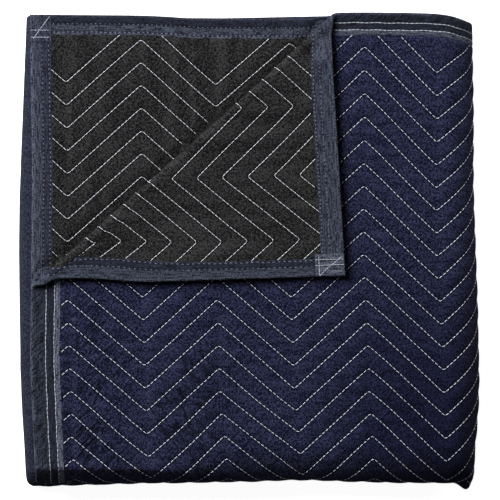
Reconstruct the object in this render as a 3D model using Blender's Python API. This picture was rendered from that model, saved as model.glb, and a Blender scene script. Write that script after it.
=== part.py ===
"""Quilted moving blanket, folded to a sixteenth, with one corner turned back.

Metres, +Z up, origin at the middle of the footprint, on the surface it rests on.
The sheet is cut and shaped flat, at (u, -v, w): u runs to the right, v down the
sheet from the end that finishes on top, w up through the cloth. The same steps that
fold a real one then fold every point: a corner turned back, the bottom half under,
the right half under, the bottom half under again, the right half under again.
"""

import math

import bmesh
import bpy
import numpy as np

# The cloth and its tape.
PITCH = 0.0042  # from one layer of the folded sheet to the next
HALF = 0.0018  # from the cloth's middle to its outer face
SPLIT = 0.00015  # from the cloth's middle to each panel's inner face
MARGIN_HALF = 0.0010  # the same as HALF, where the tape presses the cloth down
MARGIN = 0.0275  # how far in from the edge the cloth is pressed down
MARGIN_END = 0.0315  # where it is back at its full height
EDGE = 0.0024  # from the tape's outer edge to the panels' edge
TAPE = 0.0005  # the tape's own thickness
SIDE_TAPE = (0.0260, 0.0220)  # the side tapes' width on the face and on the back
END_TAPE = (0.0233, 0.0215)  # the end tapes'
PATCH = 0.0265  # the square at each corner
PATCH_RISE = 0.0002

# The folded blanket.
WIDTH = 0.4560  # from the top layer's left edge to the outside of the right fold
LENGTH = 0.4780  # from its top edge to the outside of the bottom fold
OVERHANG = 0.0125  # how far the lower creases reach past the top layer's left edge
EVEN_U = (0.155, 0.340)  # lines across each run, so that its edges can curve
EVEN_V = (0.150, 0.360)

# The corner that is turned back.
TURN = 0.2754  # the fold line cuts the end edge at TURN * SKEW and the side edge at TURN
SKEW = 1.115
TURN_RADIUS = 0.0042
TURN_STEPS = 6
TURN_SLIDE = 0.0144  # how far the tip slides along the fold line
TURN_DROP = 0.0028  # how far the turned corner sinks past its roll,
TURN_REST = 0.060  # and over what distance
TURN_TUCK = 0.0068  # how far its edges draw in just past the roll

# The quilting: zigzag rows, raised between the lines of stitches.
ROW = 0.02312
HALF_WAVE = 0.0748
WAVE = 0.0680
FIRST_PEAK = 0.0362
FIRST_ROW = 0.0388
WANDER = ((0.0, 0.0), (0.560, 0.0120), (0.980, 0.0), (1.960, -0.0040))  # (v, shift in u)
FACE_RISE = 0.0004
FACE_DIP = 0.0006
BACK_DIP = 0.0007
COVER_U = 0.288  # the face is plain under the turned corner, as far as this
COVER_V = 0.243
BACK_REACH = 0.284  # and the back is quilted to this diagonal

# How the folded stack has settled: (distance along the edge, shift of the edge).
# Between its rows each shift is even, and the rows are where the cloth is cut to bend,
# so neighbouring layers keep their distance.
RIGHT_SIDE = ((0.0, -0.0070), (0.150, -0.0058), (0.360, 0.0), (0.461, -0.0030), (0.478, -0.0024))
LEFT_UPPER = ((0.0, -0.0026), (0.150, 0.0), (0.360, -0.0018), (0.461, 0.0030), (0.478, 0.0036))
LEFT_LOWER = ((0.0, 0.0076), (0.150, 0.0010), (0.360, 0.0002), (0.461, 0.0052), (0.478, 0.0062))
TOP_FIRST = ((0.155, -0.0010), (0.340, -0.0014), (0.4224, 0.0014), (0.456, 0.0090))
TOP_OTHERS = ((0.0, 0.0016), (0.155, 0.0024), (0.340, 0.0026), (0.4224, 0.0014), (0.456, 0.0090))
BOTTOM_LOWER = ((0.0, 0.0040), (0.155, -0.0002), (0.340, -0.0018), (0.4224, 0.0))
EAR = 0.0065  # the lower layers' corner, pushed out at the end of the right fold
EAR_AT = 0.440
EAR_REACH = 0.018
PRESSED_LEFT = 0.03  # the stack is this much lower along its open edges
PRESSED_TOP = 0.025

COLLECTION = "moving_blanket"
NAVY = (0.0130, 0.0150, 0.0400)
BLACK = (0.0220, 0.0220, 0.0230)
SLATE = (0.0480, 0.0560, 0.0930)


class Fold:
    """A plate folded under itself: what lies past start goes round pivot and back."""

    def __init__(self, axis, start, layers, steps):
        self.axis = axis
        self.start = start
        self.pivot = PITCH / 2 - layers * PITCH
        self.arc = math.pi * layers * PITCH
        self.steps = steps

    def lines(self):
        return [self.start + self.arc * i / self.steps for i in range(self.steps + 1)]


RUN_U = WIDTH - 8 * PITCH
RUN_V = LENGTH - 4 * PITCH
QUARTER_U = Fold(0, RUN_U, 8, 8)
QUARTER_V = Fold(1, RUN_V, 4, 6)
HALF_U = Fold(0, 2 * RUN_U + QUARTER_U.arc - 2 * PITCH + OVERHANG, 2, 4)
HALF_V = Fold(1, 2 * RUN_V + QUARTER_V.arc - PITCH, 1, 3)
FOLDS = (HALF_V, HALF_U, QUARTER_V, QUARTER_U)
SHEET_U = 2 * HALF_U.start + HALF_U.arc
SHEET_V = 2 * HALF_V.start + HALF_V.arc


# --- the folds, on arrays of points -------------------------------------------------


def turned(amount, steps):
    """Sine and cosine of a half turn, in straight steps, so that facets stay flat."""
    turn = np.clip(amount, 0, 1) * steps
    low = np.minimum(np.floor(turn), steps - 1)
    part = turn - low
    first, last = low * math.pi / steps, (low + 1) * math.pi / steps
    sine = (1 - part) * np.sin(first) + part * np.sin(last)
    cosine = (1 - part) * np.cos(first) + part * np.cos(last)
    return sine, cosine


def ease(value, low, high):
    part = np.clip((value - low) / (high - low), 0, 1)
    return part * part * (3 - 2 * part)


def turn_corner(at):
    """Turns the corner at u = v = 0 up and back over the sheet."""
    u, v, w = at[:, 0] / SKEW, at[:, 1], at[:, 2]
    past = (TURN - u - v) / math.sqrt(2)
    along = (u - v) / math.sqrt(2)
    arc = math.pi * TURN_RADIUS
    begin = -arc / 2
    sine, cosine = turned((past - begin) / arc, TURN_STEPS)
    reach = TURN_RADIUS - w
    free = np.maximum(past - begin - arc, 0)
    new = np.where(past > begin, begin + reach * sine - free, past)
    height = np.where(past > begin, TURN_RADIUS - reach * cosine, w)
    height = height - TURN_DROP * np.clip(free / TURN_REST, 0, 1)
    along = along + TURN_SLIDE * free / (TURN / math.sqrt(2))
    u = (TURN - math.sqrt(2) * new + math.sqrt(2) * along) / 2 * SKEW
    v = (TURN - math.sqrt(2) * new - math.sqrt(2) * along) / 2
    tuck = TURN_TUCK * ease(free, 0.0, 0.012) * (1 - ease(free, 0.015, 0.090))
    u = u - tuck * (1 - ease(at[:, 1], 0.0, 0.06))
    v = v - tuck * (1 - ease(at[:, 0], 0.0, 0.06))
    return np.stack([u, v, height], axis=1)


def fold_under(at, fold):
    along, height = at[:, fold.axis], at[:, 2]
    sine, cosine = turned((along - fold.start) / fold.arc, fold.steps)
    reach = height - fold.pivot
    free = np.maximum(along - fold.start - fold.arc, 0)
    past = along > fold.start
    out = at.copy()
    out[:, fold.axis] = np.where(past, fold.start + reach * sine - free, along)
    out[:, 2] = np.where(past, fold.pivot + reach * cosine, height)
    return out


def read(table, along):
    where, shift = zip(*table)
    return np.interp(along, where, shift)


def settle(at):
    """Moves the stack's edges to where they lie: one even map of space."""
    x, y, z = at[:, 0], at[:, 1], at[:, 2]
    lower = ease(-z, 7 * PITCH + HALF, 8 * PITCH - HALF)
    first = ease(z, HALF - PITCH, -HALF)
    left = (1 - lower) * read(LEFT_UPPER, y) + lower * read(LEFT_LOWER, y)
    top = first * read(TOP_FIRST, x) + (1 - first) * read(TOP_OTHERS, x)
    dx = left * (1 - ease(x, 0.0, 0.15)) + read(RIGHT_SIDE, y) * ease(x, 0.25, 0.42)
    dy = top * (1 - ease(y, 0.0, 0.16)) + lower * read(BOTTOM_LOWER, x) * ease(y, 0.36, 0.46)
    ear = 1 - ease(np.abs(x - EAR_AT), 0.0, EAR_REACH)
    dy = dy + EAR * ear * ease(-z, 8 * PITCH, 12 * PITCH) * ease(y, 0.44, 0.475)
    slope_left = 1 - np.clip(x / EVEN_U[0], 0, 1)
    slope_top = 1 - np.clip(y / EVEN_V[0], 0, 1)
    floor = PITCH - HALF - 16 * PITCH
    up = (z - floor) * (1 - PRESSED_LEFT * slope_left - PRESSED_TOP * slope_top)
    return np.stack([x + dx, -(y + dy), up], axis=1)


def place(bm):
    """Folds a piece that was shaped flat."""
    at = np.array([vert.co for vert in bm.verts])
    at[:, 1] *= -1
    at = turn_corner(at)
    for fold in FOLDS:
        at = fold_under(at, fold)
    for vert, co in zip(bm.verts, settle(at)):
        vert.co = co


# --- cutting the flat pieces --------------------------------------------------------


def cut(bm, faces, point, normal):
    parts = set(faces)
    for face in faces:
        parts.update(face.edges)
        parts.update(face.verts)
    bmesh.ops.bisect_plane(bm, geom=list(parts), plane_co=point, plane_no=normal, dist=1e-6)


def sheet_lines(quarter, half, even, whole):
    """Where the sheet is cut so that it can fold, along u or along v."""
    near = quarter.lines() + list(even) + [2 * quarter.start + quarter.arc - e for e in even]
    return near + half.lines() + [whole - line for line in near]


FACE_U = QUARTER_U.start + QUARTER_U.arc * 5 / 8  # how far round its folds it shows
FACE_V = QUARTER_V.start + QUARTER_V.arc * 4 / 6
U_LINES = sheet_lines(QUARTER_U, HALF_U, EVEN_U, SHEET_U)
V_LINES = sheet_lines(QUARTER_V, HALF_V, EVEN_V, SHEET_V)


def cut_for_folds(bm, across=True, down=True):
    if across:
        for line in U_LINES:
            cut(bm, bm.faces[:], (line, 0, 0), (1, 0, 0))
    if down:
        for line in V_LINES:
            cut(bm, bm.faces[:], (0, -line, 0), (0, 1, 0))
    arc = math.pi * TURN_RADIUS
    pasts = [arc * (i / TURN_STEPS - 0.5) for i in range(TURN_STEPS + 1)]
    for past in pasts + [arc / 2 + TURN_REST]:
        corner = [face for face in bm.faces if within(face, (-1, RUN_U, -1, RUN_V))]
        cut(bm, corner, (0, math.sqrt(2) * past - TURN, 0), (1 / SKEW, -1, 0))


def within(face, region, lean=0.0, shift=0.0):
    """Whether a face's middle is in a rectangle, leaning by shift + lean * v."""
    left, right, low, high = region
    middle = face.calc_center_median()
    u = middle.x - shift + lean * middle.y
    return left < u < right and low < -middle.y < high


def outer_faces(bm, region, shown=None, lean=0.0, shift=0.0):
    """The outer faces in a rectangle, or those of them where shown(u, v) is true."""
    faces = [f for f in bm.faces if f.normal.z > 0.9 and within(f, region, lean, shift)]
    if shown is None:
        return faces
    middles = [face.calc_center_median() for face in faces]
    return [face for face, at in zip(faces, middles) if shown(at.x, -at.y)]


def cut_quilting(bm, region, shown):
    """Cuts one outer face along the rows of stitches and midway between them."""
    left, right, low, high = region
    lean = float(read(WANDER, high) - read(WANDER, low)) / (high - low)
    shift = float(read(WANDER, low)) - lean * low
    turns = [FIRST_PEAK + i * HALF_WAVE for i in range(-1, int(right / HALF_WAVE) + 2)]
    for turn in turns:
        faces = outer_faces(bm, region, shown)
        cut(bm, faces, (turn + shift, 0, 0), (1, lean, 0))
    rows = range(int((low - FIRST_ROW - WAVE) / ROW * 2) - 1, int((high - FIRST_ROW) / ROW * 2) + 2)
    for i, turn in enumerate(turns):
        strip = (turn, turn + HALF_WAVE, low, high)
        falling = -1 if i % 2 == 0 else 1
        begin = FIRST_ROW if falling > 0 else FIRST_ROW + WAVE
        normal = (falling * WAVE, HALF_WAVE + falling * WAVE * lean, 0)
        for row in rows:
            faces = [f for f in outer_faces(bm, strip, shown, lean, shift) if within(f, region)]
            v = begin + row * ROW / 2
            cut(bm, faces, (turn + shift + lean * v, -v, 0), normal)


def rib(u, v):
    """0 along a row of stitches, 1 midway between two rows."""
    wave = np.abs((u - read(WANDER, v) - FIRST_PEAK) / HALF_WAVE % 2)
    wave = np.minimum(wave, 2 - wave)
    row = (v - FIRST_ROW - WAVE * wave) / ROW
    return 1 - np.abs(2 * (row - np.floor(row)) - 1)


# --- the pieces ---------------------------------------------------------------------


def face_shown(u, v):
    """Where the face's quilting is raised: not under the turned corner."""
    covered = (u < COVER_U - 1e-6) & (v < COVER_V - 1e-6)
    return (u < FACE_U + 1e-6) & (v < FACE_V + 1e-6) & ~covered


def back_shown(u, v):
    """Where the back's is: on the turned corner, and on the layer under it."""
    v = np.minimum(v, SHEET_V - v)
    return u / SKEW + v < BACK_REACH + 1e-6


def face_relief(u, v):
    amount = (1 - ease(u, FACE_U - 0.03, FACE_U)) * (1 - ease(v, FACE_V - 0.02, FACE_V))
    relief = FACE_RISE * rib(u, v) - FACE_DIP * (1 - rib(u, v))
    return np.where(face_shown(u, v), amount * relief, 0)


def back_relief(u, v):
    return np.where(back_shown(u, v), -BACK_DIP * (1 - rib(u, v)), 0)


def shape_panel(bm, relief):
    at = np.array([vert.co for vert in bm.verts])
    u, v = at[:, 0], -at[:, 1]
    inset = np.minimum(np.minimum(u, SHEET_U - u), np.minimum(v, SHEET_V - v))
    taper = np.clip((inset - MARGIN) / (MARGIN_END - MARGIN), 0, 1)
    outer = MARGIN_HALF + (HALF + relief(u, v) - MARGIN_HALF) * taper
    for vert, height in zip(bm.verts, outer):
        vert.co.z = height if vert.co.z > (SPLIT + MARGIN_HALF) / 2 else SPLIT


def flat_panel():
    """A panel's flat slab, cut where it folds and where its margin is pressed down."""
    bm = bmesh.new()
    bmesh.ops.create_cube(bm, size=1.0)
    size = (SHEET_U - 2 * EDGE, SHEET_V - 2 * EDGE, HALF - SPLIT)
    bmesh.ops.scale(bm, vec=size, verts=bm.verts)
    middle = (SHEET_U / 2, -SHEET_V / 2, (HALF + SPLIT) / 2)
    bmesh.ops.translate(bm, vec=middle, verts=bm.verts)
    cut_for_folds(bm)
    whole = (0, SHEET_U, 0, SHEET_V)
    for inset in (MARGIN, MARGIN_END):
        for line in (inset, SHEET_U - inset):
            cut(bm, outer_faces(bm, whole), (line, 0, 0), (1, 0, 0))
        for line in (inset, SHEET_V - inset):
            cut(bm, outer_faces(bm, whole), (0, -line, 0), (0, 1, 0))
    return bm


def face_panel():
    bm = flat_panel()
    beside = (COVER_U, FACE_U, MARGIN, COVER_V)
    below = (MARGIN, FACE_U, COVER_V, FACE_V)
    cut(bm, outer_faces(bm, (MARGIN, FACE_U, MARGIN, FACE_V)), (0, -COVER_V, 0), (0, 1, 0))
    cut(bm, outer_faces(bm, (MARGIN, FACE_U, MARGIN, COVER_V)), (COVER_U, 0, 0), (1, 0, 0))
    for region in (beside, below):
        cut_quilting(bm, region, face_shown)
    shape_panel(bm, face_relief)
    bmesh.ops.triangulate(bm, faces=bm.faces[:])
    return bm


def back_panel():
    """Shaped as a face panel, then turned over."""
    bm = flat_panel()
    near = (MARGIN, RUN_U, MARGIN, RUN_V)
    far = (MARGIN, RUN_U, SHEET_V - RUN_V, SHEET_V - MARGIN)
    slope = 1 / SKEW
    cut(bm, outer_faces(bm, near), (0, -BACK_REACH, 0), (slope, -1, 0))
    cut(bm, outer_faces(bm, far), (0, BACK_REACH - SHEET_V, 0), (slope, 1, 0))
    for region in (near, far):
        cut_quilting(bm, region, back_shown)
    shape_panel(bm, back_relief)
    bmesh.ops.triangulate(bm, faces=bm.faces[:])
    for vert in bm.verts:
        vert.co.z *= -1
    bmesh.ops.reverse_faces(bm, faces=bm.faces[:])
    return bm


def tape_profile(face_reach, back_reach):
    """The folded tape's section: (distance in from its outer edge, height)."""
    inner, nose = HALF - TAPE, 0.0018
    return [
        (face_reach, HALF),
        (0.0012, HALF),
        (0.0, 0.0),
        (0.0012, -HALF),
        (back_reach, -HALF),
        (back_reach, -inner),
        (nose, -inner),
        (nose, inner),
        (face_reach, inner),
    ]


def swept(profile, begin, end):
    """The section drawn out along v, from begin to end."""
    bm = bmesh.new()
    ring = [bm.verts.new((inset, -begin, height)) for inset, height in profile]
    face = bm.faces.new(ring)
    grown = bmesh.ops.extrude_face_region(bm, geom=[face])
    moved = [part for part in grown["geom"] if isinstance(part, bmesh.types.BMVert)]
    bmesh.ops.translate(bm, vec=(0, begin - end, 0), verts=moved)
    bmesh.ops.recalc_face_normals(bm, faces=bm.faces[:])
    return bm


def widen_ends(bm):
    """Spreads each end of a side tape to the square patch that covers the corner."""
    for vert in bm.verts:
        inset, v = vert.co.x, -vert.co.y
        if min(v, SHEET_V - v) > PATCH + 1e-5:
            continue
        if inset > SIDE_TAPE[1] - 1e-5:
            vert.co.x = PATCH
        if abs(vert.co.z) > HALF - 1e-5:
            vert.co.z += math.copysign(PATCH_RISE, vert.co.z)


def side_tape(right):
    bm = swept(tape_profile(*SIDE_TAPE), 0.0, SHEET_V)
    for line in (PATCH, PATCH + 0.0004, SHEET_V - PATCH, SHEET_V - PATCH - 0.0004):
        cut(bm, bm.faces[:], (0, -line, 0), (0, 1, 0))
    widen_ends(bm)
    if right:
        for vert in bm.verts:
            vert.co.x = SHEET_U - vert.co.x
        bmesh.ops.reverse_faces(bm, faces=bm.faces[:])
    return bm


def end_tape(far):
    begin = PATCH + 0.0003
    bm = swept(tape_profile(*END_TAPE), begin, SHEET_U - begin)
    for vert in bm.verts:
        inset, along = vert.co.x, -vert.co.y
        vert.co.x = along
        vert.co.y = inset - SHEET_V if far else -inset
    if not far:
        bmesh.ops.reverse_faces(bm, faces=bm.faces[:])
    return bm


def tape(bm, across, down):
    cut_for_folds(bm, across, down)
    bmesh.ops.triangulate(bm, faces=bm.faces[:])
    return bm


# --- objects ------------------------------------------------------------------------


def cloth_material(name, colour, roughness):
    material = bpy.data.materials.new(name)
    material.use_nodes = True
    surface = material.node_tree.nodes["Principled BSDF"]
    surface.inputs["Base Color"].default_value = (*colour, 1.0)
    surface.inputs["Roughness"].default_value = roughness
    surface.inputs["Metallic"].default_value = 0.0
    return material


def add_piece(name, bm, material, collection):
    place(bm)
    mesh = bpy.data.meshes.new(name)
    bm.to_mesh(mesh)
    bm.free()
    mesh.materials.append(material)
    piece = bpy.data.objects.new(name, mesh)
    collection.objects.link(piece)
    return piece


def centre(pieces):
    """Puts the origin at the middle of the footprint, on the floor."""
    corners = np.array([v.co for piece in pieces for v in piece.data.vertices])
    low, high = corners.min(axis=0), corners.max(axis=0)
    middle = ((low + high) / 2)[:2]
    for piece in pieces:
        for vert in piece.data.vertices:
            vert.co.x -= middle[0]
            vert.co.y -= middle[1]
            vert.co.z -= low[2]


def main():
    for old in list(bpy.data.objects):
        bpy.data.objects.remove(old, do_unlink=True)
    blanket = bpy.data.collections.new(COLLECTION)
    bpy.context.scene.collection.children.link(blanket)
    navy = cloth_material("navy_quilted_cloth", NAVY, 0.9)
    black = cloth_material("charcoal_quilted_cloth", BLACK, 0.9)
    slate = cloth_material("slate_woven_tape", SLATE, 0.8)
    pieces = [
        add_piece("face_panel", face_panel(), navy, blanket),
        add_piece("back_panel", back_panel(), black, blanket),
        add_piece("side_binding_left", tape(side_tape(False), False, True), slate, blanket),
        add_piece("side_binding_right", tape(side_tape(True), False, True), slate, blanket),
        add_piece("end_binding_near", tape(end_tape(False), True, False), slate, blanket),
        add_piece("end_binding_far", tape(end_tape(True), True, False), slate, blanket),
    ]
    centre(pieces)


main()
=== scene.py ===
# %% [markdown]
# # A moving blanket, folded, with one corner turned back
#
# A moving blanket is two woven cloths with soft padding between them, quilted together
# in zigzag rows and bound round the edge with a folded tape. This one is folded to a
# sixteenth, so the stack shows rounded folds on two sides and layers on the other two.
#
# It could be sculpted as a stack, but cloth looks right when it is made the way cloth
# is: each piece starts flat and at its full size, gets its quilting, and is then folded
# by the same steps as a real one. Pattern coordinates are taken while it is flat, so
# weave and stitches follow it through every fold.

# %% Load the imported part
import math

import bmesh
import bpy
import numpy as np
from mathutils.noise import noise as perlin
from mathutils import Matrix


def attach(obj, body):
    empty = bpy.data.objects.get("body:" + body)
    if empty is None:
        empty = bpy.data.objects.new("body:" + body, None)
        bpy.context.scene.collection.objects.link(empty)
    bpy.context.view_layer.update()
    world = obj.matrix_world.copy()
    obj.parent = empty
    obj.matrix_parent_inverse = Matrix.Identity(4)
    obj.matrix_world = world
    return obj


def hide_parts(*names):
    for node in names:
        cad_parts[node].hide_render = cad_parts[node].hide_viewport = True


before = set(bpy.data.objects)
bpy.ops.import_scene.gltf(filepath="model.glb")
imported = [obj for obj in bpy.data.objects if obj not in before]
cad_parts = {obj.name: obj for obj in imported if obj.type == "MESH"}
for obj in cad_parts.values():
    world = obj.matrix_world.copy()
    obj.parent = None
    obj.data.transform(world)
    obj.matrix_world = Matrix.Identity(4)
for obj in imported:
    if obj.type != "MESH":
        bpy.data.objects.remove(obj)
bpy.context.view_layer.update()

# %% [markdown]
# ## The real sizes
#
# Everything is in metres. The cloth is about 3.6 mm thick and each folded layer takes
# 4.2 mm of height. The sheet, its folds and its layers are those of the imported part, so
# each finished piece fills the space of the plain solid that it stands for. The tapes
# differ from it by up to 4 mm in width, and the edges of a real stack wander a little.

# %% Sizes of the cloth and the tape
PITCH = 0.0042  # from one layer of the folded sheet to the next
HALF = 0.0018  # from the cloth's middle to its outer face
SPLIT = 0.00015  # from the cloth's middle to each panel's inner face
EDGE = 0.0024  # from the tape's outer edge to the panels' edge
PRESSED = 0.0012  # the panel's height where the tape covers it
SLOPE = 0.004  # over what width the panel rises beside the tape
TAPE = 0.0005  # the tape's own thickness
SIDE_REACH = (0.0300, 0.0212)  # how far the side tapes come in, on the face and the back
END_REACH = (0.0233, 0.0202)
SIDE_SEAMS = ((0.0157, 0.0242), (0.0122, 0.0190))  # two rows of stitches, on each side
END_SEAMS = ((0.0107, 0.0180), (0.0125, 0.0186))
FAR_SEAMS = ((0.0107, 0.0180), (0.0092, 0.0177))
PATCH_NEAR, PATCH_FAR = (0.0270, 0.0262), (0.0218, 0.0275)  # the tacked ends of a side tape

# %% Sizes of the folded stack
WIDTH, LENGTH = 0.4560, 0.4780  # the top layer, with its round folds
OVERHANG = 0.0125  # how far the creases at the left stand out past the top layer
EVEN_U, EVEN_V = (0.155, 0.340), (0.150, 0.360)  # cuts across each run, so that its edges can curve
MIDDLE = (0.221828, -0.240248)  # the middle of the folded footprint, before it is centred

# %% Sizes of the turned corner
TURN, SKEW = 0.2754, 1.1215  # its fold line meets the side at TURN and the end at TURN * SKEW
TURN_RADIUS = 0.0042
TURN_SLIDE = 0.0144  # how far the tip slides along the fold line
TURN_DROP, TURN_REST = 0.0036, 0.030  # how far it sinks past its roll, and over what distance
TURN_TUCK, TUCK_START = (0.0026, 0.0062), 0.010  # how far its two edges draw in past the roll,
TUCK_FADE = ((0.020, 0.140), (0.020, 0.070))  # where that ends, as distances from the roll,
TUCK_BAND = 0.06  # and how far in from each edge it is felt
TURN_WIDE = 0.0045  # how much wider the tape lies at the lower end of the roll,
WIDE_ALONG, WIDE_RISE, WIDE_FALL = (0.10, 0.24), (0.0, 0.022), (0.03, 0.12)  # and where
TURN_CURL, CURL_START = (0.0042, 0.0074), 0.030  # how high its two edges lift past the roll,
CURL_REACH = 0.040  # and how far in from each edge

# %% How far each edge of the stack lies from a straight line, as (place along it, shift)
RIGHT_SIDE = (
    (0.0, -0.0058), (0.110, -0.0042), (0.169, -0.0046), (0.2305, -0.0024), (0.292, -0.0002),
    (0.360, 0.0013), (0.390, 0.0013), (0.414, 0.0), (0.4447, -0.0032), (0.461, -0.0034), (0.478, -0.0024),
)
LEFT_UPPER = ((0.0, -0.0026), (0.150, 0.0), (0.360, -0.0018), (0.461, 0.0030), (0.478, 0.0036))
LEFT_LOWER = (
    (0.0, 0.0058), (0.047, 0.0044), (0.085, 0.0046), (0.139, 0.0004), (0.175, -0.0018), (0.240, -0.0026),
    (0.322, -0.0016), (0.390, -0.0002), (0.461, 0.0046), (0.478, 0.0060),
)
TOP_RIGHT = ((0.410, -0.0022), (0.4224, -0.0021), (0.4347, -0.0002), (0.4469, 0.0036), (0.464, 0.0115))
TOP_FIRST = ((0.155, -0.0010), (0.340, -0.0034), (0.400, -0.0028), *TOP_RIGHT)
TOP_OTHERS = (
    (0.0, -0.0012), (0.110, -0.0004), (0.142, 0.0010), (0.165, 0.0032), (0.240, 0.0034),
    (0.2786, 0.0036), (0.2909, 0.0022), (0.3072, -0.0012), *TOP_RIGHT,
)
FRONT_LOWER = ((0.0, 0.0040), (0.155, -0.0002), (0.340, -0.0018), (0.4224, 0.0))
FRONT = (
    (0.150, 0.0), (0.200, -0.0010), (0.236, -0.0014), (0.255, -0.0028), (0.298, -0.0028),
    (0.314, -0.0014), (0.347, -0.0012), (0.365, 0.0),
)
SMOOTHING = (-0.014, -0.007, 0.0, 0.007, 0.014)  # the tables' corners are rounded over these steps
LEFT_BAND, RIGHT_BAND = (0.0, 0.15), (0.25, 0.42)  # over what part of the stack each shift dies out
TOP_BAND, FRONT_BAND, FRONT_LOWER_BAND = (0.0, 0.16), (0.38, 0.46), (0.36, 0.46)
EAR, EAR_AT, EAR_REACH = (0.0030, 0.0140), 0.4500, 0.019  # a corner that sticks out below,
EAR_BAND, EAR_LAYERS = (0.44, 0.475), (8, 12)  # how far from the front, and among which layers

# %% How the stack sinks
PRESSED_LEFT, PRESSED_TOP = 0.03, 0.025  # shares of the height that the open sides lose
PRESSED_ROLL, ROLL_BESIDE, ROLL_REACH = 0.0032, 0.0015, 0.0065  # the roll presses what is below it
SHOULDER, SHOULDER_START, SHOULDER_SOFT = 20.0, (0.001, 0.014), 0.0015  # the front's round edge
SAG, SAG_START = 200.0, 0.023  # and the slope that leads to it
SHOULDER_EVEN = (0.10, 0.24)  # left of this the round edge starts sooner, with no slope before it
FLOOR = PITCH - HALF - 16 * PITCH  # the bottom layer's underside
print("sixteen layers take", round(-FLOOR + HALF, 4), "m")

# %% [markdown]
# ## Folding as a map of space
#
# A fold is a half turn: what lies past a line goes round a pivot and comes back
# underneath. Written as a function of points, it can be applied to a cloth, a tape or a
# stitch alike, and they all stay together. Points are (u, v, w): u to the right, v down
# the sheet, w up through the cloth.

# %% A fold


class Fold:
    """What lies past start goes round a pivot below it and comes back underneath."""

    def __init__(self, axis, start, layers, steps):
        self.axis, self.start, self.steps = axis, start, steps
        self.pivot = PITCH / 2 - layers * PITCH
        self.arc = math.pi * layers * PITCH

    def lines(self):
        return [self.start + self.arc * i / self.steps for i in range(self.steps + 1)]

    def __call__(self, at):
        along, height = at[:, self.axis], at[:, 2]
        angle = np.clip((along - self.start) / self.arc, 0, 1) * math.pi
        free = np.maximum(along - self.start - self.arc, 0)
        reach, past = height - self.pivot, along > self.start
        out = at.copy()
        out[:, self.axis] = np.where(past, self.start + reach * np.sin(angle) - free, along)
        out[:, 2] = np.where(past, self.pivot + reach * np.cos(angle), height)
        return out


# %% The four folds, and the sheet that they need
RUN_U, RUN_V = WIDTH - 8 * PITCH, LENGTH - 4 * PITCH
QUARTER_U = Fold(0, RUN_U, 8, 24)
QUARTER_V = Fold(1, RUN_V, 4, 18)
HALF_U = Fold(0, 2 * RUN_U + QUARTER_U.arc - 2 * PITCH + OVERHANG, 2, 12)
HALF_V = Fold(1, 2 * RUN_V + QUARTER_V.arc - PITCH, 1, 9)
FOLDS = (HALF_V, HALF_U, QUARTER_V, QUARTER_U)
SHEET_U = 2 * HALF_U.start + HALF_U.arc
SHEET_V = 2 * HALF_V.start + HALF_V.arc
FOLD_END_U, FOLD_END_V = QUARTER_U.start + QUARTER_U.arc, QUARTER_V.start + QUARTER_V.arc
print("flat sheet", round(SHEET_U, 3), "by", round(SHEET_V, 3), "m")

# %% Smooth steps, and the tables read along an edge


def ease(value, low, high):
    part = np.clip((value - low) / (high - low), 0, 1)
    return part * part * (3 - 2 * part)


def read(table, along):
    where, shift = zip(*table)
    return np.interp(along, where, shift)


def bend(table, along):
    """The table read with its corners rounded, for an edge of soft cloth."""
    return sum(read(table, along + step) for step in SMOOTHING) / len(SMOOTHING)


# %% The turned corner


def beyond_turn(u, v):
    """How far a point is past the corner's fold line, towards the corner."""
    return (TURN - u / SKEW - v) / math.sqrt(2)


def turn_corner(at):
    """Turns the corner at u = v = 0 up and back over the sheet, round a soft roll."""
    u, v, w = at[:, 0] / SKEW, at[:, 1], at[:, 2]
    past, along = beyond_turn(at[:, 0], v), (u - v) / math.sqrt(2)
    arc = math.pi * TURN_RADIUS
    angle = np.clip(past / arc + 0.5, 0, 1) * math.pi
    reach, free, rolled = TURN_RADIUS - w, np.maximum(past - arc / 2, 0), past > -arc / 2
    new = np.where(rolled, -arc / 2 + reach * np.sin(angle) - free, past)
    height = np.where(rolled, TURN_RADIUS - reach * np.cos(angle), w)
    height = height - TURN_DROP * np.clip(free / TURN_REST, 0, 1)
    curls = [curl * np.clip(1 - at[:, i] / CURL_REACH, 0, 1) ** 2 for i, curl in enumerate(TURN_CURL)]
    height = height + np.maximum(*curls) * ease(free, 0.0, CURL_START)
    along = along + TURN_SLIDE * free / (TURN / math.sqrt(2))
    u = (TURN - math.sqrt(2) * new + math.sqrt(2) * along) / 2 * SKEW
    v = (TURN - math.sqrt(2) * new - math.sqrt(2) * along) / 2
    tuck = ease(free, 0.0, TUCK_START)
    wide = TURN_WIDE * ease(at[:, 1], *WIDE_ALONG) * ease(at[:, 0], *WIDE_RISE)
    v = v - wide * (1 - ease(at[:, 0], *WIDE_FALL)) * tuck
    u_fade, v_fade = [1 - ease(free, *fade) for fade in TUCK_FADE]
    u = u - TURN_TUCK[0] * tuck * u_fade * (1 - ease(at[:, 1], 0.0, TUCK_BAND))
    v = v - TURN_TUCK[1] * tuck * v_fade * (1 - ease(at[:, 0], 0.0, TUCK_BAND))
    return np.stack([u, v, height], axis=1)


# %% How the stack settles


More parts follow.
